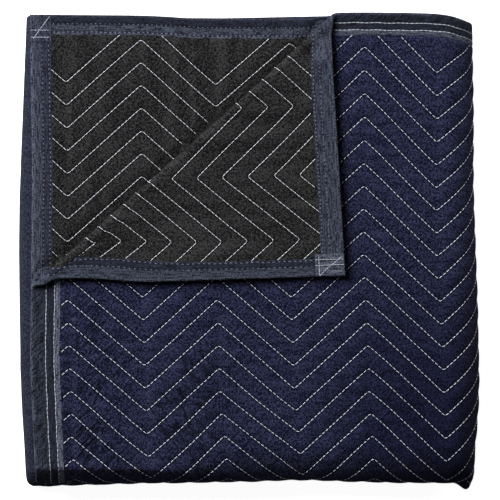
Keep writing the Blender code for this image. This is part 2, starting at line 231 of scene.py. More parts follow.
def edge_shifts(x, y, z):
    """How far a point moves in x and y, so that the stack's edges wander."""
    lower = ease(-z, 7 * PITCH + HALF, 8 * PITCH - HALF)
    first = ease(z, HALF - PITCH, -HALF)
    left = (1 - lower) * bend(LEFT_UPPER, y) + lower * bend(LEFT_LOWER, y)
    top = first * bend(TOP_FIRST, x) + (1 - first) * bend(TOP_OTHERS, x)
    dx = left * (1 - ease(x, *LEFT_BAND)) + bend(RIGHT_SIDE, y) * ease(x, *RIGHT_BAND)
    dy = top * (1 - ease(y, *TOP_BAND)) + lower * bend(FRONT_LOWER, x) * ease(y, *FRONT_LOWER_BAND)
    dy = dy + bend(FRONT, x) * ease(y, *FRONT_BAND)
    ear = (1 - ease(np.abs(x - EAR_AT), 0.0, EAR_REACH)) * ease(y, *EAR_BAND)
    ear = ear * ease(-z, EAR_LAYERS[0] * PITCH, EAR_LAYERS[1] * PITCH)
    return dx + EAR[0] * ear, dy + EAR[1] * ear


def sunk(x, y):
    """What share of its height the stack loses towards the front."""
    even = ease(x, *SHOULDER_EVEN)
    start = SHOULDER_START[0] + (SHOULDER_START[1] - SHOULDER_START[0]) * even
    past = np.maximum(y - RUN_V - start, 0)
    shoulder = SHOULDER * past * past / (past + SHOULDER_SOFT)
    return shoulder + even * SAG * np.maximum(y - RUN_V + SAG_START, 0) ** 2


def settle(at):
    """Moves the stack's edges to where they lie, and presses its layers down."""
    x, y, z = at[:, 0], at[:, 1], at[:, 2]
    dx, dy = edge_shifts(x, y, z)
    slope_left = 1 - np.clip(x / EVEN_U[0], 0, 1)
    slope_top = 1 - np.clip(y / EVEN_V[0], 0, 1)
    up = (z - FLOOR) * (1 - PRESSED_LEFT * slope_left - PRESSED_TOP * slope_top)
    beside = beyond_turn(x, y) - ROLL_BESIDE
    pressed = PRESSED_ROLL * np.exp(-((beside / ROLL_REACH) ** 2)) * (z < -HALF - 2 * SPLIT)
    up = up - pressed * (z - FLOOR) / (-PITCH + HALF - FLOOR)
    up = up * (1 - sunk(x, y))
    return np.stack([x + dx - MIDDLE[0], -(y + dy) - MIDDLE[1], up], axis=1)


def stacked(at):
    """Takes points (u, v, w) of the flat sheet to where they lie once it is folded."""
    at = turn_corner(np.asarray(at, float))
    for fold in FOLDS:
        at = fold(at)
    return at


def folded(at):
    """The same, with the stack settled as well."""
    return settle(stacked(at))


# %% [markdown]
# ## The rows of the quilting
#
# The rows are zigzags, sewn with the padding already inside, so each row pulls both
# cloths down and the padding swells between. The rows could be drawn as lines, but a
# function that says how far any point is from its nearest row serves for more: `swell`
# is 0 on a row of stitches and 1 midway between two rows, and the relief, the seams and
# the stitches all use it.

# %% The zigzag rows
ROW, ROW_GAP = 0.02321, 0.0171  # from one row to the next, along v and straight across a slope
HALF_WAVE, WAVE = 0.0758, 0.0675  # across and along the sheet, from a peak to a valley
FIRST_PEAK = 0.0384
FIRST_ROW, LAST_ROW = -2, 80  # the first and last rows, beside the end tapes
WHOLE_FIRST_ROW = 0.3  # right of this the first row is whole: left of it the turn hides its end
ROWS = (  # (v, number of the row that peaks there)
    (-0.4300, -20.0), (0.0345, 0.0), (0.4991, 20.0), (1.4221, 60.0), (1.8863, 80.0), (2.3505, 100.0),
)
print("rows of stitches:", LAST_ROW - FIRST_ROW + 1, "each", ROW_GAP, "m from the next")

# %% How unevenly they were sewn, as (place, shift)
WANDER = (
    (0.0, 0.001), (0.15, 0.0), (0.25, -0.0022), (0.33, 0.0005), (0.39, 0.0021), (0.43, 0.0066),
    (0.47, 0.0104), (0.98, 0.0), (1.685, -0.0018), (1.76, -0.0018), (1.925, -0.0026),
)
DRIFT = ((0.36, 0.0), (0.41, 0.0040), (0.45, 0.0065))
TURNED_U = ((0.03, 0.0063), (0.12, 0.0071), (0.24, 0.0144))
TURNED_V = ((0.03, 0.0038), (0.10, 0.0029), (0.24, -0.0052))
LEAN, LEAN_ALONG, LEAN_ACROSS = 0.0075, (0.38, 0.45), (0.07, 0.17)  # at the front's left end
LAYER_END = 0.6  # v is past the top layer here


def true_to_pattern(u, v):
    """Takes out the unevenness with which the rows were sewn and have stretched since."""
    turned = ease(beyond_turn(u, v) * math.sqrt(2), -0.03, 0.01)
    lean = LEAN * ease(v, *LEAN_ALONG) * (1 - ease(u, *LEAN_ACROSS)) * (v < LAYER_END)
    across = (1 - turned) * (read(WANDER, v) - lean) + turned * read(TURNED_U, u)
    along = (1 - turned) * read(DRIFT, u) + turned * read(TURNED_V, v)
    return u - across, v - along


# %% From a point to its row


def wave_at(u, v):
    """0 at the peaks of the zigzag, 1 at its valleys."""
    wave = np.abs((true_to_pattern(u, v)[0] - FIRST_PEAK) / HALF_WAVE % 2)
    return np.minimum(wave, 2 - wave)


def row_at(u, v):
    """The number of the row of stitches at a point: whole on a row."""
    return read(ROWS, true_to_pattern(u, v)[1] - WAVE * wave_at(u, v))


def from_row(u, v):
    """How far the nearest row of stitches is, in rows, up to half a row."""
    row = row_at(u, v)
    nearest = np.where(u > WHOLE_FIRST_ROW, np.maximum(np.rint(row), FIRST_ROW), np.rint(row))
    nearest = np.minimum(nearest, LAST_ROW)
    return np.minimum(np.abs(row - nearest), 0.5)


def swell(u, v):
    return 2 * from_row(u, v)


# %% [markdown]
# ## Where the cloth is seen
#
# Only part of so large a sheet shows. Those parts get small faces and raised quilting,
# and the layers that are buried in the stack stay coarse, which keeps the whole blanket
# under the number of triangles that a renderer handles with ease.

# %% Which parts of the sheet are seen
HIDDEN_U, HIDDEN_V = 0.288, 0.243  # the face is hidden under the turned corner up to here
BACK_SEEN = 0.290  # and the back shows up to this diagonal


def on_top(u, v):
    return (u < QUARTER_U.start + QUARTER_U.arc * 0.6) & (v < QUARTER_V.start + QUARTER_V.arc * 0.6)


def face_close(u, v):
    """Where the navy face is seen from above: not under the turned corner."""
    return on_top(u, v) & ~((u < HIDDEN_U) & (v < HIDDEN_V))


def face_far(u, v):
    """Where it is seen only from the sides and from below."""
    right = (u > QUARTER_U.start) & (u < FOLD_END_U)
    front = (v > QUARTER_V.start) & (v < FOLD_END_V)
    under = (u > FOLD_END_U) & (u < RUN_U + FOLD_END_U) & (v < QUARTER_V.start)
    return (v < FOLD_END_V) & (u < RUN_U + FOLD_END_U) & (right | front | under) & ~on_top(u, v)


def face_seen(u, v):
    return face_close(u, v) | face_far(u, v)


def back_seen(u, v):
    """Where the black back is seen: on the turned corner and on the layer below it."""
    return u / SKEW + np.minimum(v, SHEET_V - v) < BACK_SEEN


SEEN = (face_seen, back_seen)


def insets(u, v):
    """How far a point is from the sheet's nearest side and from its nearest end."""
    return np.minimum(u, SHEET_U - u), np.minimum(v, SHEET_V - v)


# %% [markdown]
# ## The wrinkles
#
# The quilting thread is sewn under tension, so it draws the cloth in, and short wrinkles
# run across the band between two rows. A simulation would need faces smaller than a
# wrinkle all over the sheet. A noise that is stretched across the rows does as well, and
# the same places along and across the rows go to the material later, for finer creases.

# %% Wrinkles that the thread makes
ALONG, ACROSS = 0.75, 0.66  # the direction of a row's slope
PATCHES = 14  # wrinkled patches are about 70 mm wide,
WRINKLE = (110, 30)  # wrinkles 9 mm wide and 33 mm long,
RIPPLE, RIPPLE_SLANT = (24, 130), 6  # and ripples at the front 42 mm long and 8 mm wide
RIPPLED_U, RIPPLED_V = (0.20, 0.27), (0.26, 0.31)
DRAG_DEPTH, RIPPLE_DEPTH = (0.0020, 0.0003), 0.0007  # on the face and the back; on the face
EVEN_SHARE, LEFT_SHARE = 0.30, 0.70  # wrinkled everywhere, and more at the front's left end
LEFT_ACROSS, LEFT_ALONG = (0.12, 0.24), (0.27, 0.36)
END_U, END_V = (0.02, 0.05), (0.01, 0.03)  # how far into the two outer folds they die out


def uneven(*places):
    """Smooth noise at points, each given by three coordinates."""
    return np.array([perlin(point) for point in zip(*places)])


def pull(u, v):
    """Places along and across the rows, and how strongly the thread wrinkles the cloth."""
    turn = (true_to_pattern(u, v)[0] - FIRST_PEAK) / HALF_WAVE
    way = np.where(np.floor(turn) % 2 == 0, 1.0, -1.0)
    along, across = ALONG * u + way * ACROSS * v, ACROSS * u - way * ALONG * v
    patchy = uneven(u * PATCHES, v * PATCHES, way * 0 + 5)
    # 0 at a turn of the zigzag and 1 from a ninth of a slope on
    clear_of_turns = np.clip(np.minimum(turn % 1, 1 - turn % 1) * 9, 0, 1)
    most = EVEN_SHARE + LEFT_SHARE * (1 - ease(u, *LEFT_ACROSS)) * ease(v, *LEFT_ALONG)
    return along, across + way, clear_of_turns * most * np.clip(0.65 + 0.9 * patchy, 0.25, 1)


def wrinkles(u, v, side):
    """Their height; they die out round the folds, so that the underside lies flat."""
    along, across, strength = pull(u, v)
    height = DRAG_DEPTH[side] * strength * uneven(along * WRINKLE[0], across * WRINKLE[1], along * 0 + 0.5)
    if side == 0:
        ripples = uneven(u * RIPPLE[0], v * RIPPLE[1] + RIPPLE_SLANT * u, u * 0 + 9)
        height = height + RIPPLE_DEPTH * ripples * ease(u, *RIPPLED_U) * ease(v, *RIPPLED_V)
    return height * (1 - ease(u - RUN_U, *END_U)) * (1 - ease(v - RUN_V, *END_V))


# %% The height of the quilted cloth
RISE, DIP = (0.0005, 0.0002), (0.0009, 0.0009)  # on the face and the back
PLAIN_ROLL = (0.007, 0.013)  # the cloth is stretched smooth this near to the fold line
CRUMPLES = (  # height, then how fast it waves across u and v and how much those waves bend
    (0.00010, (410, 3, 97, 0), (380, 2.5, 120)),
    (0.00016, (133, 2, 61, 1), (151, 2, 47)),
)


def surface(u, v, side):
    """The height of a panel's outer face above the cloth's middle: side 0 face, 1 back."""
    dome = 1 - (1 - swell(u, v)) ** 2.0
    if side:
        dome = np.maximum(dome, 1 - ease(np.abs(beyond_turn(u, v)), *PLAIN_ROLL))
    crumple = wrinkles(u, v, side)
    for depth, (fast_u, bent_u, by_v, start), (fast_v, bent_v, by_u) in CRUMPLES:
        wave_u = np.sin(u * fast_u + bent_u * np.sin(v * by_v + start))
        crumple = crumple + depth * wave_u * np.sin(v * fast_v + bent_v * np.sin(u * by_u))
    relief = -DIP[side] + (RISE[side] + DIP[side]) * dome + crumple * dome
    full = HALF + np.where(SEEN[side](u, v), relief, 0)
    side_inset, end_inset = insets(u, v)
    wide, long = np.where(v < SHEET_V / 2, np.array([PATCH_NEAR]).T, np.array([PATCH_FAR]).T)
    past_tapes = np.minimum(side_inset - SIDE_REACH[side], end_inset - END_REACH[side])
    past_patch = np.maximum(side_inset - wide, end_inset - long)
    clear = np.clip(np.minimum(past_tapes, past_patch) / SLOPE, 0, 1)
    return PRESSED + (full - PRESSED) * (1 - (1 - clear) ** 2)


# %% [markdown]
# ## Cutting a flat panel so that it can fold
#
# Each panel starts as one thin box. A flat box can't bend, so it is cut along every
# line that the folds turn round, and the faces that show are then halved until they are
# small. Last, the points next to a row of stitches slide onto it and are joined by edges,
# which keeps each valley crisp where a plain grid would give it a saw edge.

# %% Cutting a flat mesh along lines
PARTS_U, PARTS_V, TAPE_PARTS = 24, 26, 3  # into how many parts each run of the cloth is cut


def cut(bm, faces, point, normal):
    parts = set(faces)
    for face in faces:
        parts.update(face.edges)
        parts.update(face.verts)
    bmesh.ops.bisect_plane(bm, geom=list(parts), plane_co=point, plane_no=normal, dist=1e-6)


def cut_all(bm, point, normal):
    geom = bm.verts[:] + bm.edges[:] + bm.faces[:]
    bmesh.ops.bisect_plane(bm, geom=geom, plane_co=point, plane_no=normal, dist=1e-6)


def centres(faces):
    middle = np.array([face.calc_center_median() for face in faces]).reshape(-1, 3)
    return middle[:, 0], -middle[:, 1]


def sheet_lines(quarter, half, even, whole, run, parts):
    """Where the sheet is cut to fold, and evenly between, along u or along v."""
    near = quarter.lines() + list(even) + [2 * quarter.start + quarter.arc - e for e in even]
    close = [run * i / parts for i in range(1, parts)]
    return sorted(near + close + half.lines() + [whole - line for line in near + close])


U_LINES = sheet_lines(QUARTER_U, HALF_U, EVEN_U, SHEET_U, RUN_U, PARTS_U)
V_LINES = sheet_lines(QUARTER_V, HALF_V, EVEN_V, SHEET_V, RUN_V, PARTS_V)
TAPE_U_LINES = sheet_lines(QUARTER_U, HALF_U, EVEN_U, SHEET_U, RUN_U, TAPE_PARTS)
TAPE_V_LINES = sheet_lines(QUARTER_V, HALF_V, EVEN_V, SHEET_V, RUN_V, TAPE_PARTS)
print("lines across the cloth:", len(U_LINES), "and", len(V_LINES))

# %% Halving the faces that are seen
CELL, FAR_CELL = 0.00225, 0.0090  # the edge of a face that is seen closely, or from the side


def refine(bm, seen, size):
    """Halves the edges of the outer faces where seen(u, v) is true, down to size."""
    tag = bm.faces.layers.int.new("seen")
    faces = [face for face in bm.faces if face.normal.z > 0.9]  # those of the upper side
    for face, chosen in zip(faces, seen(*centres(faces))):
        face[tag] = int(chosen)
    while True:
        chosen = {edge for face in bm.faces if face[tag] for edge in face.edges}
        long = [edge for edge in chosen if edge.calc_length() > size]
        if not long:
            break
        bmesh.ops.subdivide_edges(bm, edges=long, cuts=1, use_grid_fill=True)
    bm.faces.layers.int.remove(tag)


# %% Points round the roll and on the rows
ROLL_STEPS, ROLL_NEAR = 12, 0.016  # cuts round the roll, and how close to a cut a face is cut
NO_ROWS = 0.01  # no row is sewn nearer to the edge than this


def cut_turn(bm):
    """Cuts the sheet where the turned corner rolls over."""
    arc = math.pi * TURN_RADIUS
    round_roll = [arc * (i / ROLL_STEPS - 0.5) for i in range(ROLL_STEPS + 1)]
    for past in round_roll + [arc / 2 + TURN_REST]:
        u, v = centres(bm.faces)
        near = np.abs(beyond_turn(u, v) - past) < ROLL_NEAR
        chosen = np.nonzero(near & (u < RUN_U) & (v < RUN_V))[0]
        bm.faces.ensure_lookup_table()
        faces = [bm.faces[i] for i in chosen]
        cut(bm, faces, (0, math.sqrt(2) * past - TURN, 0), (1 / SKEW, -1, 0))


def snap_rows(bm, seen):
    """Slides the nearest points onto the rows of stitches and joins them by edges."""
    up = [vert for vert in bm.verts if vert.co.z > 0]
    at = np.array([vert.co for vert in up])
    u, v = at[:, 0], -at[:, 1]
    row = row_at(u, v)
    gap = (row - np.rint(row)) * ROW
    inside = np.minimum(*insets(u, v)) > NO_ROWS
    chosen = np.nonzero(seen(u, v) & inside & (np.abs(gap) < CELL / 2))[0]
    snapped = []
    for i in chosen:
        up[i].co.y += gap[i]
        snapped.append(up[i])
    bmesh.ops.connect_verts(bm, verts=snapped)
    return len(snapped)


# %% A flat panel
SLAB = 0.001  # any small thickness does, because the heights are set later


def flat_panel(side, regions):
    """One panel's slab, cut for its folds and quilting, with its outer face up."""
    bm = bmesh.new()
    bmesh.ops.create_cube(bm, size=1.0)
    bmesh.ops.scale(bm, vec=(SHEET_U - 2 * EDGE, SHEET_V - 2 * EDGE, SLAB), verts=bm.verts)
    bmesh.ops.translate(bm, vec=(SHEET_U / 2, -SHEET_V / 2, 0), verts=bm.verts)
    for line in U_LINES:
        cut_all(bm, (line, 0, 0), (1, 0, 0))
    for line in V_LINES:
        cut_all(bm, (0, -line, 0), (0, 1, 0))
    for seen, size in regions:
        refine(bm, seen, size)
    print("points on the rows:", snap_rows(bm, (face_close, back_seen)[side]))
    cut_turn(bm)
    return bm


# %% [markdown]
# ## From flat to folded
#
# A flat panel's points still are its (u, v), so this is the moment to write them down as
# a UV map, in metres, and the places along and across the rows as a second one, `pull`.
# Four more values tell the material where the cloth is unlike the rest: painted shade in
# the valley beside each row of stitches, `faded` along the old crease down its middle,
# `wrinkled` where the thread draws it in, and `deep`, painted shade beside the turned
# corner's roll and over the front right. Then every point gets its height and is folded.

# %% Writing down a mesh's values


def points_of(mesh):
    at = np.empty(len(mesh.vertices) * 3, np.float32)
    mesh.vertices.foreach_get("co", at)
    return at.reshape(-1, 3).astype(float)


def write_uv(mesh, across, along, name="sheet"):
    corner = np.empty(len(mesh.loops), np.int32)
    mesh.loops.foreach_get("vertex_index", corner)
    uv = mesh.uv_layers.new(name=name)
    uv.data.foreach_set("uv", np.stack([across, along], axis=1)[corner].astype(np.float32).ravel())


def write_value(mesh, name, values):
    layer = mesh.attributes.new(name, "FLOAT", "POINT")
    layer.data.foreach_set("value", np.asarray(values, np.float32))


def keep(name, bm, material):
    """Makes an object of the mesh, at the origin."""
    mesh = bpy.data.meshes.new(name)
    bm.to_mesh(mesh)
    bm.free()
    mesh.materials.append(material)
    piece = bpy.data.objects.new(name, mesh)
    bpy.context.scene.collection.objects.link(piece)
    return piece


def place(piece, at):
    """Gives the piece its folded points, with smooth shading that breaks at hard edges."""
    mesh = piece.data
    mesh.vertices.foreach_set("co", at.astype(np.float32).ravel())
    mesh.shade_smooth()
    mesh.set_sharp_from_angle(angle=math.radians(60))
    mesh.update()
    print(piece.name, len(mesh.vertices), "vertices")
    return piece


# %% Shape, fold and keep a panel
PAINTED_STITCH_SHADE_WIDTH = 0.0016  # how far from a row the painted shade of its valley reaches
FADED, CREASE = 0.85, (0.012, 0.020)  # the old crease: how faded it is, and its half width
PAINTED_ROLL_SHADE, PAINTED_ROLL_SHADE_AT, PAINTED_ROLL_SHADE_WIDTH = 0.62, 0.0012, 0.0022  # painted shade: a dark line beside the roll, on the layer below it
PAINTED_FRONT_SHADE, PAINTED_FRONT_SHADE_U, PAINTED_FRONT_SHADE_V = 0.8, (0.25, 0.41), (0.20, 0.42)  # and painted shade that darkens the front right
BACK_WRINKLED = 0.4


def panel(name, side, regions, material):
    sign = (1, -1)[side]
    bm = flat_panel(side, regions)
    if side:
        bmesh.ops.scale(bm, vec=(1, 1, -1), verts=bm.verts)
        bmesh.ops.reverse_faces(bm, faces=bm.faces[:])
    piece = keep(name, bm, material)
    at = points_of(piece.data)
    u, v, outer = at[:, 0], -at[:, 1], at[:, 2] * sign > 0
    height = np.where(outer, surface(u, v, side), SPLIT) * sign
    lie = stacked(np.stack([u, v, height], axis=1))
    along, across, strength = pull(u, v)
    write_uv(piece.data, u, v)
    write_uv(piece.data, along, across, "pull")
    seen = SEEN[side](u, v)
    # Painted shade in the valley beside each row of stitches.
    painted_stitch_shade = np.exp(-((from_row(u, v) * ROW_GAP / PAINTED_STITCH_SHADE_WIDTH) ** 2))
    write_value(piece.data, "painted_stitch_shade", np.where(outer & seen, painted_stitch_shade, 0))
    write_value(piece.data, "faded", FADED * (1 - ease(np.abs(u - SHEET_U / 2), *CREASE)))
    write_value(piece.data, "wrinkled", strength * (1.0, BACK_WRINKLED)[side] * seen)
    if side:
        # Painted shade: a dark line on the second layer, beside the turned corner's roll.
        beside = beyond_turn(lie[:, 0], lie[:, 1]) - PAINTED_ROLL_SHADE_AT
        second_layer = (lie[:, 2] < -HALF) & (lie[:, 2] > -2 * PITCH)
        deep = PAINTED_ROLL_SHADE * np.exp(-((beside / PAINTED_ROLL_SHADE_WIDTH) ** 2)) * second_layer
    else:
        # Painted shade, darker towards the front right.
        deep = PAINTED_FRONT_SHADE * ease(u, *PAINTED_FRONT_SHADE_U) * ease(v, *PAINTED_FRONT_SHADE_V) * on_top(u, v)
    write_value(piece.data, "deep", deep)
    return place(piece, settle(lie))


# %% [markdown]
# ## Small helpers for the materials
#
# Colours are written as sRGB hex, as a picker shows them, and one function turns them to
# the linear values that a shader needs. One more adds a node of any kind: its inputs are
# numbers or other nodes' outputs, and it gives back an output, so that calls can nest.

# %% Colour and node helpers


def linear(hex_colour):
    """(r, g, b, 1), linear, from an sRGB hex colour."""
    parts = [int(hex_colour[i : i + 2], 16) / 255 for i in (1, 3, 5)]
    return (*[p / 12.92 if p <= 0.04045 else ((p + 0.055) / 1.055) ** 2.4 for p in parts], 1.0)


def add_node(tree, kind, inputs=(), out=0, stops=(), **settings):
    """Adds a node with its settings, inputs and a ramp's (position, colour) stops."""
    made = tree.nodes.new("ShaderNode" + kind)
    for name, value in settings.items():
        setattr(made, name, value)
    for name, value in dict(inputs).items():
        if isinstance(value, bpy.types.NodeSocket):
            tree.links.new(value, made.inputs[name])
        else:
            made.inputs[name].default_value = value
    for i, (position, colour) in enumerate(stops):
        point = made.color_ramp.elements[i]
        point.position, point.color = position, linear(colour)
    return made.outputs[out]


def new_material(name, **surface_inputs):
    """A material whose one shader has these constant inputs; gives its tree and shader."""
    material = bpy.data.materials.new(name)
    material.use_nodes = True
    shader = material.node_tree.nodes["Principled BSDF"]
    for key, value in surface_inputs.items():
        shader.inputs[key.replace("_", " ")].default_value = value
    return material, material.node_tree, shader


def slubs(tree, place_on, a_metre, detail=2.0, distortion=0.0):
    """Uneven threads: noise about 0.5, so many times a metre each way, on a UV map."""
    stretched = add_node(tree, "Mapping", {"Vector": place_on, "Scale": (*a_metre, 1)})
    noise = {"Vector": stretched, "Scale": 1.0, "Detail": detail, "Roughness": 0.6}
    return add_node(tree, "TexNoise", {**noise, "Distortion": distortion}, noise_dimensions="2D")


# %% [markdown]
# ## The quilted cloth
#
# The face is a navy cloth of cotton and polyester, woven loosely and a little brushed, and
# the back is the same in charcoal black. Both are matt and slightly fuzzy: high roughness,
# a low specular level and a little sheen. Real threads are about 0.4 mm apart. That is too
# fine to show, so slubs are drawn about 1 mm wide and 3 mm long, both ways across, with
# tufts of 2 mm. Painted shade darkens the valley round each seam, where the thread draws
# the cloth in, and fine creases cross each band of padding, each with a line of painted
# shade. More painted shade darkens the cloth beside the turned corner's roll and over the
# front right. Broad bands are lighter, as old cloth wears.

# %% Cloth material
WARP, WEFT = (340, 900), (900, 340)  # a metre: slubs 2.9 mm long and 1.1 mm wide
TUFTS = (520, 520)  # 1.9 mm
CREASES = (170, 42)  # 6 mm apart along a row, and 24 mm long across it
LIGHTNESS = (0.4545, 0.5545)  # between these values of the noise the cloth turns light


def cloth(name, deep, light, seam, faded, shaded, bands):
    material, tree, shader = new_material(
        name, Roughness=0.95, Specular_IOR_Level=0.12, Sheen_Weight=0.04, Sheen_Roughness=0.5
    )
    on_sheet = add_node(tree, "UVMap", uv_map="sheet")
    on_rows = add_node(tree, "UVMap", uv_map="pull")
    painted_stitch_shade, worn, wrinkled, painted_shade = [
        add_node(tree, "Attribute", out="Fac", attribute_name=value)
        for value in ("painted_stitch_shade", "faded", "wrinkled", "deep")
    ]
    warp, weft = slubs(tree, on_sheet, WARP), slubs(tree, on_sheet, WEFT)
    tufts = slubs(tree, on_sheet, TUFTS, 3.0, 0.5)
    creases = slubs(tree, on_rows, CREASES, 2.0, 0.6)

    tint = 0.0
    for value, weight in ((warp, 0.25), (weft, 0.25), (tufts, 0.375), (slubs(tree, on_sheet, bands), 0.125)):
        tint = add_node(tree, "Math", {0: value, 1: weight, 2: tint}, operation="MULTIPLY_ADD")
    new, old = [
        add_node(tree, "ValToRGB", {0: tint}, stops=zip(LIGHTNESS, colours))
        for colours in ((deep, light), faded)
    ]
    # Painted shade along the fine creases.
    crease_shade_mask = add_node(tree, "ValToRGB", {0: creases}, stops=((0.39, "#ffffff"), (0.48, "#000000")))
    creased = add_node(tree, "Math", {0: crease_shade_mask, 1: wrinkled}, operation="MULTIPLY")
    colour = new
    # The worn crease, then painted shade: in the fine creases, beside the roll and over the front right, and
    # in the valleys along the rows.
    for share, over, how in (
        (worn, old, "MIX"),
        (creased, linear("#3c3c5c"), "MULTIPLY"),
        (painted_shade, linear(shaded), "MULTIPLY"),
        (painted_stitch_shade, linear(seam), "MIX"),
    ):
        inputs = {0: share, 6: colour, 7: over}
        colour = add_node(tree, "Mix", inputs, out=2, data_type="RGBA", blend_type=how)
    tree.links.new(colour, shader.inputs["Base Color"])

    weave = 0.0
    for value in (warp, weft, tufts):
        weave = add_node(tree, "Math", {0: value, 1: weave}, operation="ADD")
    folds = add_node(tree, "Math", {0: creases, 1: wrinkled}, operation="MULTIPLY")
    normal = add_node(tree, "Bump", {"Height": weave, "Strength": 0.8, "Distance": 0.0009})
    inputs = {"Height": folds, "Strength": 1.0, "Distance": 0.0060, "Normal": normal}
    tree.links.new(add_node(tree, "Bump", inputs), shader.inputs["Normal"])
    print(name, len(tree.nodes), "nodes")
    return material


# %% The navy and the charcoal cloth
# seam is painted shade in the valleys along the rows; shaded is painted shade beside the roll and over the
# front right
navy_cloth = cloth(
    "navy_quilted_cotton_cloth",
    deep="#01021f",
    light="#343754",
    seam="#05061a",
    faded=("#1b1f2b", "#343948"),
    shaded="#7675ac",
    bands=(38, 150),
)
# seam and shaded are painted shade, as for the navy cloth
black_cloth = cloth(
    "charcoal_quilted_cotton_cloth",
    deep="#060607",
    light="#3a3a3b",
    seam="#0b0b0c",
    faded=("#060607", "#3a3a3b"),
    shaded="#202021",
    bands=(60, 12),
)

# %% The two panels
face_cloth = panel("navy_face_cloth", 0, [(face_far, FAR_CELL), (face_close, CELL)], navy_cloth)
back_cloth = panel("black_back_cloth", 1, [(back_seen, CELL)], black_cloth)

# %% [markdown]
# ## The binding tape
#
# A woven tape is folded over the raw edge and held by two rows of stitches through all
# the layers. It is drawn out from one section, as it comes off its roll: puffed between
# its seams, pressed down at them, and rounded over the edge of the blanket. The side
# tapes run past the end tapes, and their ends are the tacked squares at the corners.

# %% The tape's section
NOSE = 0.0030  # how far in from its outer edge the tape is rounded
SEAM_DIP, SEAM_WIDTH = 0.00035, 0.0013
HEM_DROP, HEM = 0.0004, 0.0009  # the turned-under hem at its inner edge
LIFT = 0.00015  # how much higher than the cloth it lies
INNER = HALF - TAPE  # the tape's inner face
SECTION_POINTS = 24


def tape_height(inset, reach, seams):
    """The tape's outer face above the cloth's middle."""
    round_edge = np.sqrt(1 - (1 - np.clip(inset / NOSE, 0, 1)) ** 2)
    dips = sum(np.exp(-(((inset - seam) / SEAM_WIDTH) ** 2)) for seam in seams)
    hem = np.clip((inset - reach + HEM) / HEM, 0, 1)
    return (HALF + LIFT - SEAM_DIP * dips - HEM_DROP * hem) * round_edge


def tape_section(reaches, seams):
    """The folded tape's section: (inset from the outer edge, height)."""
    spread = np.linspace(1, 0, SECTION_POINTS) ** 1.15
    face, back = [
        [(reach * s, sign * float(tape_height(reach * s, reach, rows))) for s in spread]
        for reach, rows, sign in zip(reaches, seams, (1, -1))
    ]
    wall = [(reaches[1], -INNER), (HALF, -INNER), (HALF, INNER), (reaches[0], INNER)]
    return face + back[::-1][1:] + wall


# %% Drawing the section out into a strip


def strip(section, begin, end):
    bm = bmesh.new()
    ring = [bm.verts.new((inset, -begin, height)) for inset, height in section]
    grown = bmesh.ops.extrude_face_region(bm, geom=[bm.faces.new(ring)])
    moved = [part for part in grown["geom"] if isinstance(part, bmesh.types.BMVert)]
    bmesh.ops.translate(bm, vec=(0, begin - end, 0), verts=moved)
    bmesh.ops.recalc_face_normals(bm, faces=bm.faces[:])
    return bm


def refine_strip(bm, axis, seen, size):
    """Halves the edges that run along the strip, where it is seen."""
    while True:
        long = []
        for edge in bm.edges:
            a, b = edge.verts[0].co, edge.verts[1].co
            if abs(a[axis] - b[axis]) > size and seen(abs(a[axis] + b[axis]) / 2):
                long.append(edge)
        if not long:
            return
        bmesh.ops.subdivide_edges(bm, edges=long, cuts=1, use_grid_fill=True)


# %% The squares at the corners
PATCH_FOOT, PATCH_RISE = INNER + 0.0001, 0.0009  # how thin its rim is, and how it swells
PATCH_CUTS, PATCH_STEP = (0.0006, 0.0014, NOSE), 0.0003
PATCH_GAP = 0.0002  # from a square to the end tape beside it
TOUCH = 1e-5


def patch(bm, whole, reaches):
    """Turns the two ends of a side tape into flat squares with rounded edges."""
    for near, (wide, long) in ((True, PATCH_NEAR), (False, PATCH_FAR)):
        for line in (*PATCH_CUTS, long, long + PATCH_STEP):
            cut_all(bm, (0, -line if near else line - whole, 0), (0, 1, 0))
        for vert in bm.verts:
            end = -vert.co.y if near else whole + vert.co.y
            if end < long + TOUCH and abs(vert.co.z) > INNER + TOUCH:
                vert.co.x *= wide / reaches[0 if vert.co.z > 0 else 1]
                edges = [min(1.0, gap / NOSE) for gap in (vert.co.x, end)]
                rounded = math.prod(math.sqrt(1 - (1 - gap) ** 2) for gap in edges)
                vert.co.z = math.copysign(PATCH_FOOT + PATCH_RISE * rounded, vert.co.z)


# %% How light the tape is, and how it puckers
# Outside, between and inside its seams, on the face and the back
TONES = {
    "left": ((0.19, 0.08, 0.95), (0.42, 0.20, 0.32)),
    "right": ((0.12, 0.04, 0.48), (0.30, 0.30, 0.30)),
    "near": ((0.05, 0.07, 0.64), (0.32, 0.32, 0.45)),
    "far": ((0.12, 0.04, 0.48), (0.07, 0.42, 0.68)),
}
EDGE_WEAR_AND_HIGHLIGHT = {"left": 0.30, "right": 0.20, "near": 0.26, "far": 0.10}  # and how much lighter its rounded edge is: partly wear, partly painted highlight
EDGE_WEAR_AND_HIGHLIGHT_BAND = (0.0010, 0.0042)
NEAR_END_DARKER, PATCH_TONES = 0.12, (0.72, 0.40)  # the near and the far patch
TONE_MARGIN = 0.0004  # a tone reaches this far past its seam
SEAM_SHADE, HEM_SHADE = 0.0010, 0.0007  # half widths of the painted shade along the seams and at the corner squares' ends
PUCKER, PUCKER_WAVE = 0.00016, 0.0066  # its depth, and from one pucker to the next


